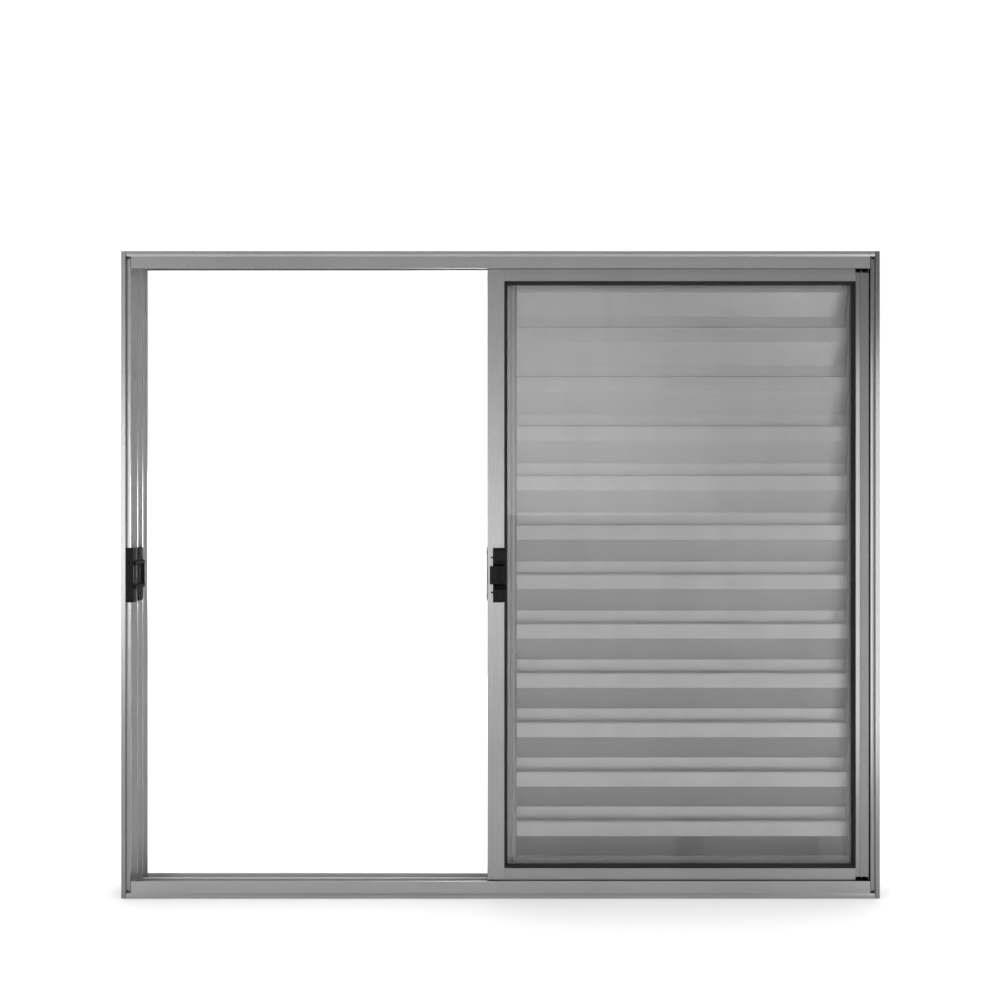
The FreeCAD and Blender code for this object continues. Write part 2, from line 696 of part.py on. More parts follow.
def latch_body():
    """Moulded case: thick screw ends that slope down to the slider's seat."""
    back = GLASS_FRONT
    slope_low = slider_z0 - LATCH_SLOPE_H
    slope_high = slider_z1 + LATCH_SLOPE_H
    side = [
        (back, case_z0),
        (back - LATCH_END_T, case_z0),
        (back - LATCH_T, case_z0 + LATCH_CORNER),
        (back - LATCH_T, slope_low),
        (back - LATCH_SEAT_T, slider_z0 - SLIDER_PLAY),
        (back - LATCH_SEAT_T, slider_z1 + SLIDER_PLAY),
        (back - LATCH_T, slope_high),
        (back - LATCH_T, case_z1 - LATCH_CORNER),
        (back - LATCH_END_T, case_z1),
        (back, case_z1),
    ]
    outline = [
        (LATCH_LEFT, case_z0),
        (case_x1 - LATCH_CORNER, case_z0),
        (case_x1, case_z0 + LATCH_CORNER),
        (case_x1, case_z1 - LATCH_CORNER),
        (case_x1 - LATCH_CORNER, case_z1),
        (LATCH_LEFT, case_z1),
    ]
    body = prism_x(side, LATCH_LEFT, case_x1).common(prism_y(outline, back - LATCH_T, back))
    rim_front = back - LATCH_T
    rim_back = rim_front + LATCH_RIM_STEP
    rim_x = LATCH_LEFT + LATCH_RIM_W
    body = body.cut(block(LATCH_LEFT, rim_x, rim_front, rim_back, case_z0, case_z1))
    for z in (LATCH_Z - SCREW_Z, LATCH_Z + SCREW_Z):
        x = LATCH_LEFT + LATCH_W / 2.0 + LATCH_SCREW_OFF
        body = body.cut(rod_y(x, z, SCREW_HEAD_R, rim_front, rim_front + SCREW_SINK))
    for z in (LATCH_Z - LATCH_PIN_Z, LATCH_Z + LATCH_PIN_Z):
        pin = rod_x(back - LATCH_PIN_R, z, LATCH_PIN_R, LATCH_LEFT - LATCH_PIN_L, rim_x)
        body = body.fuse(pin)
    return body.removeSplitter()


def thumb_slider():
    """Thumb piece with a hollow scooped along its height."""
    back = GLASS_FRONT - LATCH_SEAT_T
    front = back - SLIDER_T
    x1 = SLIDER_LEFT + SLIDER_W
    body = block(SLIDER_LEFT, x1, front, back, slider_z0, slider_z1)
    front_y = FRONT_Y + front
    edges = [e for e in edges_along(body, Vector(1, 0, 0)) if e.CenterOfMass.y < front_y + 1e-6]
    body = body.makeFillet(SLIDER_EDGE_R, edges)
    z0 = slider_z0 + SCOOP_END
    z1 = slider_z1 - SCOOP_END
    return body.cut(rod_z(x1 - SCOOP_IN, front + SCOOP_DEEP - SCOOP_R, SCOOP_R, z0, z1))


latch_case = latch_body()
latch_slider = thumb_slider()

# Slot latch in the edge of the louvre leaf's meeting stile

louvre_mid = LOUVRE_FRONT + LEAF_T / 2.0
plate_x0 = LEAF_X0 - SLOT_PLATE_T
slot_plate = block(
    plate_x0,
    LEAF_X0,
    louvre_mid - SLOT_PLATE_W / 2.0,
    louvre_mid + SLOT_PLATE_W / 2.0,
    case_z0,
    case_z1,
)
plate_corners = edges_along(slot_plate, Vector(1, 0, 0))
slot_plate = slot_plate.makeFillet(LATCH_CORNER, plate_corners)
hook = block(
    plate_x0 - HOOK_OUT,
    plate_x0,
    louvre_mid - HOOK_W / 2.0,
    louvre_mid + HOOK_W / 2.0,
    LATCH_Z - HOOK_L / 2.0,
    LATCH_Z + HOOK_L / 2.0,
)
slot_latch = slot_plate.fuse(hook).removeSplitter()


# Keepers on the left jamb, one for each sliding leaf

keeper_z0 = LATCH_Z - KEEPER_H / 2.0
keeper_z1 = keeper_z0 + KEEPER_H
window_z0 = LATCH_Z - KEEPER_WINDOW_H / 2.0
window_z1 = window_z0 + KEEPER_WINDOW_H
band_front = RIM_STEP - BEAD_LEAN
flange_front = band_front - KEEPER_FLANGE_T
cover_x1 = -SIGHT_X + KEEPER_PLATE_T
block_x1 = -SIGHT_X + KEEPER_PROUD
channel_x0 = -HALF_W + RIM_W + FRAME_WALL


def strike_blocks(d0, d1):
    """Two stops across a track, chamfered on the side that the leaf meets."""
    pieces = []
    for z in (window_z0 - KEEPER_BLOCK_H, window_z1):
        lead = KEEPER_PROUD / 2.0
        section = [
            (channel_x0, z),
            (block_x1 - lead, z),
            (block_x1, z + lead),
            (block_x1, z + KEEPER_BLOCK_H - lead),
            (block_x1 - lead, z + KEEPER_BLOCK_H),
            (channel_x0, z + KEEPER_BLOCK_H),
        ]
        pieces.append(prism_y(section, d0, d1))
    return pieces


def cover(d0, d1, open0, open1):
    """Thin cover over a track's edge with a window between the stops."""
    plate = block(-SIGHT_X, cover_x1, d0, d1, keeper_z0, keeper_z1)
    window = block(-SIGHT_X, cover_x1, open0, open1, window_z0, window_z1)
    return plate.cut(window)


flange = block(-HALF_W + RIM_W, cover_x1, flange_front, band_front, keeper_z0, keeper_z1)
for z in (LATCH_Z - SCREW_Z, LATCH_Z + SCREW_Z):
    head_x = -HALF_W + RIM_W + SCREW_HEAD_R + KEEPER_SCREW_EDGE
    sunk = flange_front + SCREW_SINK / 2.0
    flange = flange.cut(rod_y(head_x, z, SCREW_HEAD_R, flange_front, sunk))
keeper_glass = fused(
    [
        flange,
        cover(flange_front, KEEPER_COVER_D, band_front, KEEPER_SLOT_D),
    ]
    + strike_blocks(LIP_BACK + GROOVE_DEEP, RIB_DEPTHS[0])
)
track2 = RIB_DEPTHS[0] + FRAME_WALL
cover2_back = track2 + KEEPER_COVER2_D
cover2 = cover(track2, cover2_back, track2 + KEEPER_BAR, cover2_back - KEEPER_BAR)
cover2_corners = [
    edge
    for edge in edges_along(cover2, Vector(1, 0, 0))
    if abs(abs(edge.CenterOfMass.z - LATCH_Z) - KEEPER_H / 2.0) < 0.1
]
cover2 = cover2.makeFillet(KEEPER_CORNER_R, cover2_corners)
link = block(
    cover_x1,
    block_x1,
    cover2_back - KEEPER_LINK,
    cover2_back,
    window_z0 - KEEPER_LINK_PAST,
    window_z1 + KEEPER_LINK_PAST,
)
keeper_louvre = fused([cover2, link] + strike_blocks(track2, RIB_DEPTHS[1]))
keeper_glass = keeper_glass.cut(jamb_left)
keeper_louvre = keeper_louvre.cut(jamb_left)


# Pile seals between the meeting stiles

def pile_seal(d0, d1):
    x0 = LEAF_X0 + SEAL_INSET
    return block(x0, x0 + SEAL_W, d0, d1, STILE_Z0, STILE_Z1)


meeting_seals = compound([
    pile_seal(GLASS_FRONT + LEAF_T, LOUVRE_FRONT - SEAL_GAP),
    pile_seal(LOUVRE_FRONT + LEAF_T, FIXED_FRONT - SEAL_GAP),
])


nodes = {
    "frame_head": head,
    "frame_sill": sill,
    "frame_jamb_left": jamb_left,
    "frame_jamb_right": jamb_right,
    "keeper_glass_leaf": keeper_glass,
    "keeper_louvre_leaf": keeper_louvre,
    "glass_leaf_stile_left": glass_stile_left,
    "glass_leaf_stile_right": glass_stile_right,
    "glass_leaf_rail_top": glass_rail_high,
    "glass_leaf_rail_bottom": glass_rail_low,
    "glass_pane": pane,
    "glass_gasket": gasket,
    "glass_leaf_rollers": glass_wheels,
    "glass_leaf_roller_housings": glass_carriages,
    "latch_case": latch_case,
    "latch_slider": latch_slider,
    "louvre_leaf_latch": slot_latch,
    "meeting_brush_seals": meeting_seals,
    "louvre_leaf_stile_left": louvre_stile_left,
    "louvre_leaf_stile_right": louvre_stile_right,
    "louvre_leaf_rail_top": louvre_rail_high,
    "louvre_leaf_rail_bottom": louvre_rail_low,
    "louvre_leaf_rollers": louvre_wheels,
    "louvre_leaf_roller_housings": louvre_carriages,
    "fixed_leaf_stile_left": fixed_stile_left,
    "fixed_leaf_stile_right": fixed_stile_right,
    "fixed_leaf_rail_top": fixed_rail_high,
    "fixed_leaf_rail_bottom": fixed_rail_low,
    "fixed_leaf_blades": compound(fixed_blades),
}
for number, shape in enumerate(louvre_blades, start=1):
    nodes["louvre_blade_%02d" % number] = shape

os.makedirs("parts", exist_ok=True)
for name, shape in nodes.items():
    shape.exportStep("parts/" + name + ".step")
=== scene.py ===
import math

import bpy
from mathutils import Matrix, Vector


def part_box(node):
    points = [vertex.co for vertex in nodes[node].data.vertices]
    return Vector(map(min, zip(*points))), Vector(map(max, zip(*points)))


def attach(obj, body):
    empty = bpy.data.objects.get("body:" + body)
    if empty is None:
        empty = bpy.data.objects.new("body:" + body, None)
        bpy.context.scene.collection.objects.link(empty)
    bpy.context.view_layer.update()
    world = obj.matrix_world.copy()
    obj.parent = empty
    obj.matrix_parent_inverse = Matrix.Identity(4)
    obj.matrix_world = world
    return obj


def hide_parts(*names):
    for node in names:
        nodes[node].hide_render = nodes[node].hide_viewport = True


# Looks of a horizontal sliding window in natural anodised aluminium. Metres,
# in the part's own frame: X along the sill, -Y the room side, Z up.

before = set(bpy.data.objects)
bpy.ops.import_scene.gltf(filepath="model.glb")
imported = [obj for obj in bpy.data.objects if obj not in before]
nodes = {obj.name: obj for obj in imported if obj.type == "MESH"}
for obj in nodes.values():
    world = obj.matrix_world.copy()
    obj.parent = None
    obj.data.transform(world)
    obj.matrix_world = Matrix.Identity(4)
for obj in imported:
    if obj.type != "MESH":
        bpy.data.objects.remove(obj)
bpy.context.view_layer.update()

MM = 0.001

# the inside of the frame's tracks, behind the faces that show
TRACKS_WIDTH = 592.0 * MM
TRACKS_DEPTH = (-33.0 * MM, 38.0 * MM)
TRACKS_HEIGHT = (2.0 * MM, 1022.0 * MM)
RIB_NOSES = 582.5 * MM
# just under 0, so that the middle of the window counts too
WHOLE_WIDTH = -1.0 * MM

RELIEF = 0.2
RELIEF_DEPTH = 0.02 * MM
DIE_LINE_PITCH = 0.7 * MM
DIE_LINES_ALONG = 1.2
CLOUD_SIZE = 0.16
ETCH_SIZE = 0.9 * MM
EDGE_RADIUS = 0.35 * MM
TRACK_ROUGHNESS = 0.2


# Materials

def srgb(code):
    """Linear colour of an sRGB hex code."""
    parts = [int(code[i:i + 2], 16) / 255.0 for i in (1, 3, 5)]
    linear = [p / 12.92 if p <= 0.04045 else ((p + 0.055) / 1.055) ** 2.4 for p in parts]
    return (*linear, 1.0)


def add(tree, kind, sockets=None, **fields):
    """Adds a node; a socket is given a value or another node's output."""
    made = tree.nodes.new(kind)
    for field, value in fields.items():
        setattr(made, field, value)
    for socket, value in (sockets or {}).items():
        if isinstance(value, bpy.types.NodeSocket):
            tree.links.new(value, made.inputs[socket])
        else:
            made.inputs[socket].default_value = value
    return made


def maths(tree, operation, first, second=0.0):
    """Result of a sum with one or two values."""
    return add(tree, "ShaderNodeMath", {0: first, 1: second}, operation=operation).outputs[0]


def blended(tree, share, first, second, **fields):
    """Colour between two others, or a blend of them."""
    return add(tree, "ShaderNodeMix", {
        "Factor": share, 6: first, 7: second,
    }, data_type="RGBA", **fields).outputs[2]


def grey(value):
    return (value, value, value, 1.0)


def new_material(name):
    material = bpy.data.materials.new(name)
    material.use_nodes = True
    material.node_tree.nodes.clear()
    return material, material.node_tree


def finish_material(tree, shader):
    add(tree, "ShaderNodeOutputMaterial", {"Surface": shader})


def inside_tracks(tree, place, from_x):
    """1 inside the frame's tracks, where the metal gets the tracks' painted tone
    and a more matt finish, and 0 on the faces that show to the room, the wall
    and outside. Nearer to the middle of the window than from_x it is 0 too."""
    axes = add(tree, "ShaderNodeSeparateXYZ", {"Vector": place}).outputs
    side = maths(tree, "ABSOLUTE", axes["X"])
    mask = 1.0
    for value, (low, high) in (
        (side, (from_x, TRACKS_WIDTH)),
        (axes["Y"], TRACKS_DEPTH),
        (axes["Z"], TRACKS_HEIGHT),
    ):
        off = maths(tree, "SUBTRACT", value, (low + high) / 2.0)
        far = maths(tree, "ABSOLUTE", off)
        within = maths(tree, "LESS_THAN", far, (high - low) / 2.0)
        mask = maths(tree, "MULTIPLY", mask, within)
    return mask


def painted_underside_shade(tree, place):
    """Share of its tone that a face turned down loses: painted shade on the
    undersides of the folds, most of all near the sill."""
    facing = add(tree, "ShaderNodeNewGeometry").outputs["True Normal"]
    turned = add(tree, "ShaderNodeSeparateXYZ", {"Vector": facing})
    under = add(tree, "ShaderNodeMapRange", {
        "Value": turned.outputs["Z"], "From Min": -0.10, "From Max": -0.35,
    })
    height = add(tree, "ShaderNodeSeparateXYZ", {"Vector": place})
    share = add(tree, "ShaderNodeMapRange", {
        "Value": height.outputs["Z"], "To Min": 0.54, "To Max": 0.12,
    })
    return maths(tree, "MULTIPLY", under.outputs[0], share.outputs[0])


def anodised(
    name, light, dark, rough, along, matt_tone=None, film=0.0, from_x=WHOLE_WIDTH, underside_shade=False,
):
    """Extruded aluminium, etched and clear anodised: a soft satin grey with
    fine die lines along the bar, a faint cloudy tone and a fine grain. Given
    a track tone, it has that tone inside the tracks: painted light in the
    sill and the jambs, with some dust in the sill, and painted shade in the
    head. The more film, the more matt it is there. Faces turned down can
    also get painted shade."""
    material, tree = new_material(name)
    place = add(tree, "ShaderNodeTexCoord").outputs["Object"]
    # die lines about 0.7 mm apart, half a metre and more long
    stretch = [1.0 / DIE_LINE_PITCH] * 3
    stretch["XYZ".index(along)] = DIE_LINES_ALONG
    lined = add(tree, "ShaderNodeMapping", {"Vector": place, "Scale": stretch})
    lines = add(tree, "ShaderNodeTexNoise", {
        "Vector": lined.outputs[0], "Scale": 1.0, "Detail": 2.0, "Roughness": 0.6,
    })
    # uneven anodising, patches about 160 mm across
    cloud = add(tree, "ShaderNodeTexNoise", {
        "Vector": place, "Scale": 1.0 / CLOUD_SIZE, "Detail": 3.0, "Roughness": 0.55,
    })
    # etched grain, drawn at 0.9 mm so that it shows
    fine = add(tree, "ShaderNodeTexNoise", {
        "Vector": place, "Scale": 1.0 / ETCH_SIZE, "Detail": 1.0, "Roughness": 0.5,
    })
    tone = add(tree, "ShaderNodeMapRange", {
        "Value": maths(tree, "ADD", cloud.outputs[0], fine.outputs[0]),
        "From Min": 0.7, "From Max": 1.3,
    })
    colour = blended(tree, tone.outputs[0], srgb(dark), srgb(light))
    gloss = add(tree, "ShaderNodeMapRange", {
        "Value": lines.outputs[0], "From Min": 0.3, "From Max": 0.7,
        "To Min": rough - 0.02, "To Max": rough + 0.02,
    })
    # painted shade: faces turned down are darkened, most of all near the sill
    if underside_shade:
        colour = blended(tree, painted_underside_shade(tree, place), colour, srgb("#000000"))
    metal = 1.0
    # inside the tracks the colour turns to the given tone: painted light in the sill and the
    # jambs, with some dust in the sill, and painted shade in the head
    if matt_tone:
        inside = inside_tracks(tree, place, from_x)
        colour = blended(tree, inside, colour, srgb(matt_tone))
        metal = add(tree, "ShaderNodeMapRange", {
            "Value": inside, "To Min": 1.0, "To Max": 1.0 - film,
        }).outputs[0]
        gloss = add(tree, "ShaderNodeMix", {
            "Factor": inside, 2: gloss.outputs[0], 3: rough + TRACK_ROUGHNESS * film,
        })
    # extruded edges are rounded to about 0.35 mm
    edge = add(tree, "ShaderNodeBevel", {"Radius": EDGE_RADIUS}, samples=4)
    ridge = add(tree, "ShaderNodeBump", {
        "Height": lines.outputs[0], "Strength": RELIEF, "Distance": RELIEF_DEPTH,
        "Normal": edge.outputs[0],
    })
    pitted = add(tree, "ShaderNodeBump", {
        "Height": fine.outputs[0], "Strength": RELIEF, "Distance": RELIEF_DEPTH,
        "Normal": ridge.outputs[0],
    })
    shader = add(tree, "ShaderNodeBsdfPrincipled", {
        "Base Color": colour, "Metallic": metal,
        "Roughness": gloss.outputs[0], "Normal": pitted.outputs[0],
    })
    finish_material(tree, shader.outputs[0])
    return material


def float_glass():
    """Clear 4 mm float glass: sharp reflections, a faint grey body and a thin
    film of dust in soft vertical drifts."""
    material, tree = new_material("float_glass")
    place = add(tree, "ShaderNodeTexCoord").outputs["Object"]
    # wiping marks: about 60 mm wide and 400 mm tall
    drift = add(tree, "ShaderNodeMapping", {"Vector": place, "Scale": (16.0, 16.0, 2.5)})
    film = add(tree, "ShaderNodeTexNoise", {
        "Vector": drift.outputs[0], "Scale": 1.0, "Detail": 4.0, "Roughness": 0.6,
    })
    haze = add(tree, "ShaderNodeMapRange", {
        "Value": film.outputs[0], "From Min": 0.35, "From Max": 0.75,
        "To Min": 0.03, "To Max": 0.10,
    })
    clear = add(tree, "ShaderNodeBsdfTransparent", {"Color": srgb("#f3f3f3")})
    gloss = add(tree, "ShaderNodeBsdfGlossy", {"Color": srgb("#ffffff"), "Roughness": 0.02})
    # 4 % straight on and more when seen aslant, the same from both sides
    aslant = add(tree, "ShaderNodeLayerWeight", {"Blend": 0.5}).outputs["Facing"]
    mirror = add(tree, "ShaderNodeMapRange", {
        "Value": maths(tree, "POWER", aslant, 5.0), "To Min": 0.04, "To Max": 1.0,
    })
    sheet = add(tree, "ShaderNodeMixShader", {
        0: mirror.outputs[0], 1: clear.outputs[0], 2: gloss.outputs[0],
    })
    matt_tone = add(tree, "ShaderNodeBsdfDiffuse", {"Color": srgb("#c8c8c8")})
    dusty = add(tree, "ShaderNodeMixShader", {
        0: haze.outputs[0], 1: sheet.outputs[0], 2: matt_tone.outputs[0],
    })
    finish_material(tree, dusty.outputs[0])
    return material


def moulded(name, light, dark, rough, grit, ior=1.53):
    """Moulded nylon, rubber or pile: near black or off-white, a fine grain
    that breaks the highlight, and slightly uneven gloss. The black ones have
    a low IOR: they mirror less of the white studio, as in the photograph."""
    material, tree = new_material(name)
    place = add(tree, "ShaderNodeTexCoord").outputs["Object"]
    speck = add(tree, "ShaderNodeTexNoise", {
        "Vector": place, "Scale": 1.0 / (grit * MM), "Detail": 2.0, "Roughness": 0.6,
    })
    patch = add(tree, "ShaderNodeTexNoise", {
        "Vector": place, "Scale": 1.0 / (9.0 * MM), "Detail": 2.0,
    })
    colour = blended(tree, patch.outputs[0], srgb(dark), srgb(light))
    gloss = add(tree, "ShaderNodeMapRange", {
        "Value": patch.outputs[0], "To Min": rough - 0.06, "To Max": rough + 0.06,
    })
    grain = add(tree, "ShaderNodeBump", {
        "Height": speck.outputs[0], "Strength": 0.5, "Distance": 0.05 * MM,
    })
    shader = add(tree, "ShaderNodeBsdfPrincipled", {
        "Base Color": colour, "Roughness": gloss.outputs[0],
        "Normal": grain.outputs[0], "IOR": ior,
    })
    finish_material(tree, shader.outputs[0])
    return material


# the head's tracks are painted darker than its faces: painted shade under the head
frame_head = anodised(
    "anodised_aluminium_frame_head", "#989898", "#8f8f8f", 0.36, "X",
    matt_tone="#7c7c7c", film=0.5,
)
# the sill's tracks are painted palest and most matt: partly dust, which settles there, and
# partly painted light
frame_sill = anodised(
    "anodised_aluminium_frame_sill", "#989898", "#8f8f8f", 0.36, "X",
    matt_tone="#c2c2c2", film=0.9,
)
# in the jambs the tracks are painted paler behind the noses of the ribs only: painted light
# in the channels
frame_upright = anodised(
    "anodised_aluminium_frame_upright", "#7e7e7e", "#757575", 0.27, "Z",
    matt_tone="#c4c4c4", film=0.4, from_x=RIB_NOSES,
)
# the rails are painted a little darker than the stiles: painted shade
leaf_across = anodised("anodised_aluminium_leaf_across", "#8d8d8d", "#848484", 0.36, "X")
leaf_upright = anodised("anodised_aluminium_leaf_upright", "#909090", "#868686", 0.28, "Z")
# the glass leaf's right stile and the louvre leaf's stiles are painted darker than the other
# stiles: painted shade
painted_shade_stile = anodised("anodised_aluminium_jamb_stile", "#7e7e7e", "#757575", 0.28, "Z")
# thinner sheet, paler than the bars
# its faces turned down get painted shade, darker towards the sill
blade_sheet = anodised(
    "anodised_aluminium_blade", "#b6b6b6", "#adadad", 0.42, "X", underside_shade=True,
)
glass = float_glass()
# soft and matt, with hardly a highlight
rubber = moulded("epdm_rubber", "#141414", "#0b0b0b", 0.7, 0.5, ior=1.4)
# the latch: black with a satin gloss
black_nylon = moulded("moulded_nylon_black", "#0c0c0c", "#070707", 0.26, 0.4, ior=1.19)
# the keepers: a matt and slightly paler black
matt_black_nylon = moulded(
    "moulded_nylon_matt_black", "#262626", "#1b1b1b", 0.5, 0.4, ior=1.03,
)
# the rollers: off-white, slightly waxy
white_nylon = moulded("moulded_nylon_white", "#d6d3c8", "#c6c2b6", 0.42, 0.4)
# the brush seals: a dark grey without gloss
grey_pile = moulded("polypropylene_pile_grey", "#5c5d5e", "#3c3d3e", 0.85, 1.2)
# the screws in the corners of the leaves: bright, with fine turning lines
plated_steel = anodised("zinc_plated_steel", "#b4b4b2", "#9c9c9a", 0.3, "Z")
# the screws of latches and keepers: dark, with a dull sheen
black_steel = anodised("black_oxide_steel", "#2e2e2e", "#222222", 0.4, "Z")

FINISHES = {
    "frame_head": frame_head,
    "frame_sill": frame_sill,
    "frame_jamb_left": frame_upright,
    "frame_jamb_right": frame_upright,
    "glass_pane": glass,
    # these three stiles take the darker copy of the leaf metal: painted shade
    "glass_leaf_stile_right": painted_shade_stile,
    "louvre_leaf_stile_left": painted_shade_stile,
    "louvre_leaf_stile_right": painted_shade_stile,
    "glass_gasket": rubber,
    "keeper_glass_leaf": matt_black_nylon,
    "keeper_louvre_leaf": matt_black_nylon,
    "latch_case": black_nylon,
    "latch_slider": black_nylon,
    "louvre_leaf_latch": black_nylon,
    "meeting_brush_seals": grey_pile,
}


def finish_of(name):
    if name in FINISHES:
        return FINISHES[name]
    if name.endswith("_rollers"):
        return white_nylon
    if "housing" in name:
        return black_nylon
    if "blade" in name:
        return blade_sheet
    if "_rail_" in name:
        return leaf_across
    return leaf_upright


for name, node in nodes.items():
    node.data.materials.clear()
    node.data.materials.append(finish_of(name))


# Screws, which the solids leave out

QUARTER = math.radians(90.0)
SMOOTH_UNDER = math.radians(35.0)

# a screw's head, as shares of its radius and its height
RIM_HEIGHT = 0.45
DOME = ((0.12, 0.25), (0.22, 0.2), (0.26, 0.1))
RECESS_LENGTH = 1.15
RECESS_WIDTH = 0.26

TOWARDS = {
    "room": (QUARTER, 0.0, 0.0),
    "left": (0.0, -QUARTER, 0.0),
    "right": (0.0, QUARTER, 0.0),
}


def select_none():
    bpy.ops.object.select_all(action="DESELECT")


def smooth(piece):
    """Smooth shading over the small angles, sharp edges at the others."""
    select_none()
    piece.select_set(True)
    bpy.context.view_layer.objects.active = piece
    bpy.ops.object.shade_smooth_by_angle(angle=SMOOTH_UNDER)


def dress(piece, finish):
    """One material, and a place on the window's only body."""
    piece.data.materials.clear()
    piece.data.materials.append(finish)
    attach(piece, "root")


def combine(piece, tool, operation):
    """Cuts a tool out of a piece or joins it, and takes the tool away."""
    step = piece.modifiers.new("shape", "BOOLEAN")
    step.operation = operation
    step.object = tool
    bpy.context.view_layer.objects.active = piece
    bpy.ops.object.modifier_apply(modifier=step.name)
    bpy.data.objects.remove(tool)


def cross_recess(screw, radius, height):
    """Cuts a cross into the head, as deep as half of it."""
    for turn in (0.0, QUARTER):
        select_none()
        bpy.ops.mesh.primitive_cube_add(
            size=1.0, location=(0.0, 0.0, height), rotation=(0.0, 0.0, turn),
        )
        arm = bpy.context.object
        arm.scale = (radius * RECESS_LENGTH, radius * RECESS_WIDTH, height)
        bpy.ops.object.transform_apply(location=True, rotation=True, scale=True)
        combine(screw, arm, "DIFFERENCE")


def pan_head(radius, height):
    """Pan head screw at the origin: straight rim, domed top, cross recess."""
    select_none()
    bpy.ops.mesh.primitive_circle_add(vertices=32, radius=radius, fill_type="NGON")
    screw = bpy.context.object
    bpy.ops.object.mode_set(mode="EDIT")
    bpy.ops.mesh.select_all(action="SELECT")
    bpy.ops.mesh.extrude_region_move(
        TRANSFORM_OT_translate={"value": (0.0, 0.0, RIM_HEIGHT * height)},
    )
    for inwards, rise in DOME:
        bpy.ops.mesh.inset(thickness=inwards * radius, depth=rise * height)
    bpy.ops.mesh.select_all(action="SELECT")
    bpy.ops.mesh.normals_make_consistent(inside=False)
    bpy.ops.object.mode_set(mode="OBJECT")
    cross_recess(screw, radius, height)
    return screw


def place_screw(model, name, place, faces, finish):
    """A copy of a screw, with its own mesh, seated at a place in metres."""
    screw = bpy.data.objects.new(name, model.data.copy())
    bpy.context.scene.collection.objects.link(screw)
    screw.location = place
    screw.rotation_euler = TOWARDS[faces]
    select_none()
    screw.select_set(True)
    bpy.context.view_layer.objects.active = screw
    bpy.ops.object.transform_apply(location=True, rotation=True, scale=True)
    smooth(screw)
    dress(screw, finish)


small_screw = pan_head(2.3 * MM, 1.5 * MM)
low_screw = pan_head(2.3 * MM, 0.5 * MM)
large_screw = pan_head(3.6 * MM, 0.6 * MM)

case_low, case_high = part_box("latch_case")
plate_low, plate_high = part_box("louvre_leaf_latch")
flange_low, flange_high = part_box("keeper_glass_leaf")
cover_low, cover_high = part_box("keeper_louvre_leaf")
stile_low, stile_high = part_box("glass_leaf_stile_left")
latch_z = (case_low.z + case_high.z) / 2.0

# the louvre leaf's latch lies on the left side of its stile
PLATE_THICKNESS = 1.5 * MM
plate_face = stile_low.x - PLATE_THICKNESS
plate_y = (plate_low.y + plate_high.y) / 2.0

# above and below the middle of the latch
LATCH_SCREWS = 34.8 * MM
COVER_SCREWS = 32.0 * MM
# from the edges of the case, of the keeper's flange and of its cover
CASE_SCREW = (-11.2 * MM, 1.4 * MM)
FLANGE_SCREW = (3.6 * MM, 0.7 * MM)
COVER_SCREW = (-2.8 * MM, 11.0 * MM)
# from the ends of a leaf's stile, and from the foot of the middle leaf's
CORNER_SCREW = 26.0 * MM
FOOT_SCREW = (-4.9 * MM, 2.5 * MM, 34.5 * MM)

for side, sign in (("low", -1.0), ("high", 1.0)):
    z = latch_z + sign * LATCH_SCREWS
    place_screw(
        small_screw, "latch_screw_" + side,
        (case_high.x + CASE_SCREW[0], case_low.y + CASE_SCREW[1], z),
        "room", black_steel,
    )
    place_screw(
        small_screw, "keeper_glass_screw_" + side,
        (flange_low.x + FLANGE_SCREW[0], flange_low.y + FLANGE_SCREW[1], z),
        "room", black_steel,
    )
    place_screw(
        low_screw, "louvre_latch_screw_" + side,
        (plate_face, plate_y, z), "left", black_steel,
    )
    z = latch_z + sign * COVER_SCREWS
    place_screw(
        small_screw, "keeper_louvre_screw_" + side,
        (cover_high.x + COVER_SCREW[0], cover_low.y + COVER_SCREW[1], z),
        "right", black_steel,
    )
    for leaf in ("glass", "louvre", "fixed"):
        low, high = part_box(leaf + "_leaf_stile_left")
        z = low.z + CORNER_SCREW if side == "low" else high.z - CORNER_SCREW
        place_screw(
            large_screw, leaf + "_leaf_corner_screw_" + side,
            (low.x, (low.y + high.y) / 2.0, z), "left", plated_steel,
        )

# a dark screw at the foot of the middle leaf's meeting stile
low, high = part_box("louvre_leaf_stile_left")
place_screw(
    small_screw, "louvre_stile_foot_screw",
    (high.x + FOOT_SCREW[0], low.y + FOOT_SCREW[1], low.z + FOOT_SCREW[2]),
    "room", black_nylon,
)


# The louvre leaf's latch. Its solid has the hook out. The photograph shows
# nothing left of the stile, so the plate is drawn with its hook inside.

# half sizes along Y and Z
SLOT_HALF = (2.8 * MM, 17.0 * MM)
HOOK_HALF = (2.5 * MM, 6.0 * MM)


def block(low, high, corner):
    """A block between two corners, its edges rounded."""
    select_none()
    middle = [(a + b) / 2.0 for a, b in zip(low, high)]
    bpy.ops.mesh.primitive_cube_add(size=1.0, location=middle)
    made = bpy.context.object
    made.scale = [b - a for a, b in zip(low, high)]
    bpy.ops.object.transform_apply(location=True, rotation=True, scale=True)
    bpy.ops.object.mode_set(mode="EDIT")
    bpy.ops.mesh.select_all(action="SELECT")
    bpy.ops.mesh.bevel(offset=corner, segments=3, affect="EDGES")
    bpy.ops.object.mode_set(mode="OBJECT")
    return made


def across_plate(half, from_face, to_face, corner):
    """A block in the middle of the plate, between two depths from its face."""
    return block(
        (plate_face + from_face, plate_y - half[0], latch_z - half[1]),
        (plate_face + to_face, plate_y + half[0], latch_z + half[1]), corner,
    )


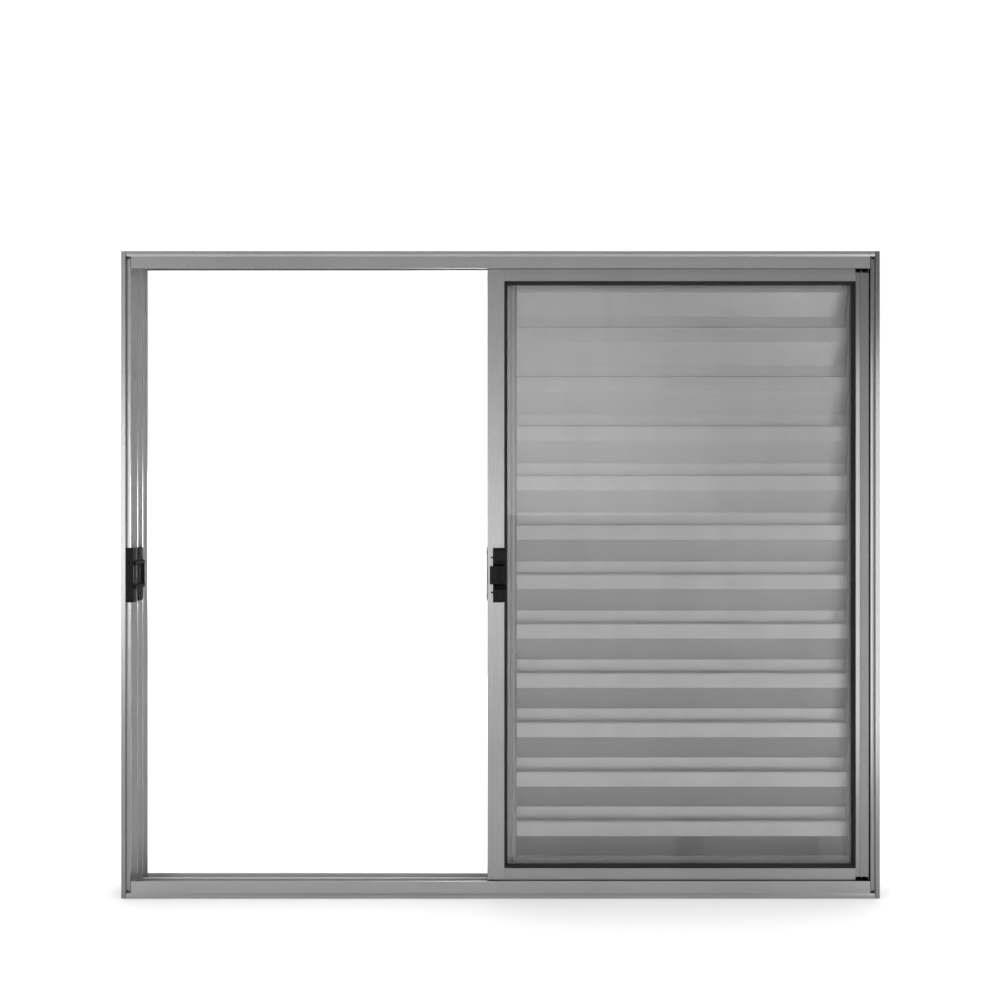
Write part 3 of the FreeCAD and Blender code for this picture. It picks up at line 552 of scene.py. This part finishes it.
plate = block(
    (plate_face, plate_low.y, plate_low.z),
    (stile_low.x, plate_high.y, plate_high.z), 0.4 * MM,
)
combine(plate, across_plate(SLOT_HALF, -2.0 * MM, 1.1 * MM, 0.5 * MM), "DIFFERENCE")
combine(plate, across_plate(HOOK_HALF, 0.3 * MM, 1.3 * MM, 0.3 * MM), "UNION")
# the cuts leave a few corners twice
bpy.ops.object.mode_set(mode="EDIT")
bpy.ops.mesh.select_all(action="SELECT")
bpy.ops.mesh.remove_doubles(threshold=0.005 * MM)
bpy.ops.object.mode_set(mode="OBJECT")
plate.name = "louvre_latch_plate"
smooth(plate)
dress(plate, black_nylon)
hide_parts("louvre_leaf_latch")

select_none()
for model in (small_screw, low_screw, large_screw):
    bpy.data.objects.remove(model)


# Studio: floor, world, lights and camera

# the sky's tone from below to above, 0 to 1, brightest at eye level
SKY_BANDS = ((0.40, 0.60), (0.50, 0.98), (0.61, 0.40), (0.80, 0.60))
WHITE = 1.05

FLOOR_SIZE = 90.0
CEILING = 3.2
GRID_SPREAD = math.radians(30.0)

# name, place, aimed at, size, watts
STRIPS = (
    ("strip_left", (-1.9, -2.2, 0.56), (-0.6, 0.0, 0.55), (0.35, 0.9), 8.4),
    ("strip_left_high", (-1.9, -2.2, 1.42), (-0.6, 0.0, 0.95), (0.35, 0.7), 1.7),
    ("strip_right", (1.05, -0.8, 0.49), (0.6, 0.0, 0.5), (0.13, 0.95), 2.1),
    # behind the camera, for the meeting stile. It stands far enough left for
    # the glass not to show it in the main picture.
    ("strip_front", (-0.08, -3.5, 0.38), (-0.08, 0.0, 0.45), (0.18, 0.75), 2.5),
    # behind the window, for the middle of the tracks
    ("strip_behind", (0.0, 2.2, 0.5), (-0.6, 0.0, 0.55), (0.6, 0.45), 11.0),
)
# Ceilings of light with a grid: name, middle and depth along Y, watts. The
# first lights the floor behind and under the window, the second the floor of
# the room.
CEILINGS = (
    ("ceiling_panel", 21.7, 46.0, 8100.0),
    ("ceiling_room", -22.95, 44.1, 7718.0),
)


def painted_floor():
    """Matt white floor paint with a faint speckle."""
    material, tree = new_material("painted_floor")
    place = add(tree, "ShaderNodeTexCoord").outputs["Object"]
    speck = add(tree, "ShaderNodeTexNoise", {"Vector": place, "Scale": 40.0, "Detail": 2.0})
    colour = blended(tree, speck.outputs[0], srgb("#f4f4f4"), srgb("#f7f7f7"))
    shader = add(tree, "ShaderNodeBsdfPrincipled", {"Base Color": colour, "Roughness": 0.8})
    finish_material(tree, shader.outputs[0])
    return material


def studio_world():
    """The room's light: graded on the room side, plain white behind."""
    world = bpy.data.worlds.new("studio")
    world.use_nodes = True
    sky = world.node_tree
    sky.nodes.clear()
    toward = add(sky, "ShaderNodeTexCoord").outputs["Generated"]
    parts = add(sky, "ShaderNodeSeparateXYZ", {"Vector": toward}).outputs
    height = add(sky, "ShaderNodeMapRange", {
        "Value": parts["Z"], "From Min": -1.0, "From Max": 1.0,
    })
    level = add(sky, "ShaderNodeValToRGB", {"Fac": height.outputs[0]})
    steps = level.color_ramp.elements
    steps.remove(steps[1])
    for index, (spot, value) in enumerate(SKY_BANDS):
        step = steps.new(spot) if index else steps[0]
        step.position = spot
        step.color = grey(value)
    # a soft glow straight across the room, which the meeting stile reflects
    glow = add(sky, "ShaderNodeMapRange", {
        "Value": parts["Y"], "From Min": -0.972, "From Max": -1.0, "To Max": 1.4,
    }, interpolation_type="SMOOTHSTEP")
    lit = blended(sky, 1.0, level.outputs[0], glow.outputs[0], blend_type="ADD")
    # white behind the window, but not overhead, where the ceiling gives the light
    behind = add(sky, "ShaderNodeMapRange", {
        "Value": parts["Y"], "From Min": 0.0, "From Max": 0.35,
    })
    low = add(sky, "ShaderNodeMapRange", {
        "Value": parts["Z"], "From Min": 0.62, "From Max": 0.48,
    })
    backdrop = maths(sky, "MULTIPLY", behind.outputs[0], low.outputs[0])
    tone = blended(sky, backdrop, lit, grey(WHITE))
    # the camera sees plain white all round, as in the photograph
    direct = add(sky, "ShaderNodeLightPath").outputs["Is Camera Ray"]
    seen = blended(sky, direct, tone, grey(WHITE))
    light = add(sky, "ShaderNodeBackground", {"Color": seen})
    add(sky, "ShaderNodeOutputWorld", {"Surface": light.outputs[0]})
    return world


def softbox(name, place, aim, size, power):
    """A rectangle of light, which the camera doesn't see."""
    lamp = bpy.data.lights.new(name, "AREA")
    lamp.shape = "RECTANGLE"
    lamp.size, lamp.size_y = size
    lamp.energy = power
    holder = bpy.data.objects.new(name, lamp)
    bpy.context.scene.collection.objects.link(holder)
    holder.location = place
    turn = (Vector(aim) - Vector(place)).to_track_quat("-Z", "Y")
    holder.rotation_euler = turn.to_euler()
    holder.visible_camera = False
    return lamp


select_none()
bpy.ops.mesh.primitive_plane_add(size=FLOOR_SIZE, location=(0.0, 0.0, 0.0))
floor = bpy.context.object
floor.name = "studio_floor"
floor.data.materials.append(painted_floor())

bpy.context.scene.world = studio_world()

for name, place, aim, size, power in STRIPS:
    softbox(name, place, aim, size, power)
for name, middle, depth, power in CEILINGS:
    panel = softbox(
        name, (0.0, middle, CEILING), (0.0, middle, 0.0), (FLOOR_SIZE, depth), power,
    )
    panel.spread = GRID_SPREAD

bpy.context.scene.view_settings.view_transform = "Standard"

camera_data = bpy.data.cameras.new("camera")
camera = bpy.data.objects.new("camera", camera_data)
bpy.context.scene.collection.objects.link(camera)
camera.location = (-0.0008, -1.824, 0.6304)
camera.rotation_euler = (QUARTER, 0.0, 0.0)
camera_data.sensor_width = 36.0
camera_data.lens = 40.64
camera_data.clip_start = 0.01
bpy.context.scene.camera = camera
